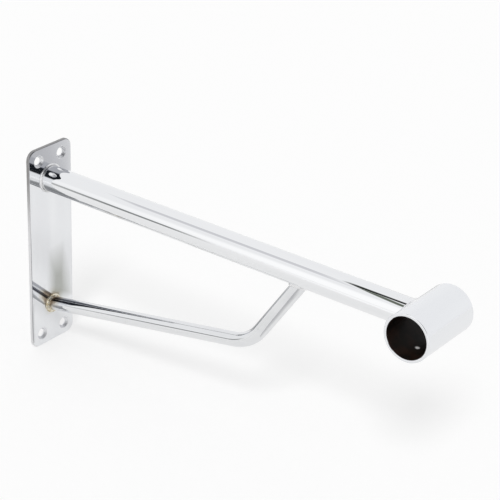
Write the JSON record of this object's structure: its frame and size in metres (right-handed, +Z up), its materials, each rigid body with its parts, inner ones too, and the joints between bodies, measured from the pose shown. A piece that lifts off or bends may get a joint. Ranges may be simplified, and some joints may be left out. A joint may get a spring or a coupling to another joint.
{
  "type": "curtain track bracket",
  "caption": "Wall bracket for a round curtain rail: a screwed plate, a straight tubular arm that ends in an open cross sleeve, and a bent round brace welded below the arm.",
  "frame": {"origin": "middle of the wall plate's back face, which lies on the wall", "axes": "+X out of the wall along the arm, +Y along the rail that passes through the sleeve, +Z up"},
  "size_m": [0.39, 0.06, 0.182],
  "materials": {
    "plate": "bright plating over flat bar, with a faint rolled grain",
    "arm": "mirror-bright plating over drawn tube",
    "sleeve": "bright plating outside, dark and dull inside the bore",
    "brace": "mirror-bright plating over round bar",
    "weld": "plated weld metal with fine ripples, straw and brown at the foot of the brace"
  },
  "bodies": {
    "root": {"wall_plate": "plate", "arm_tube": "arm", "rail_sleeve": "sleeve", "brace_rod": "brace", "weld_arm_to_plate": "weld", "weld_brace_to_plate": "weld", "weld_brace_to_arm": "weld", "weld_arm_to_sleeve": "weld"}
  },
  "joints": []
}
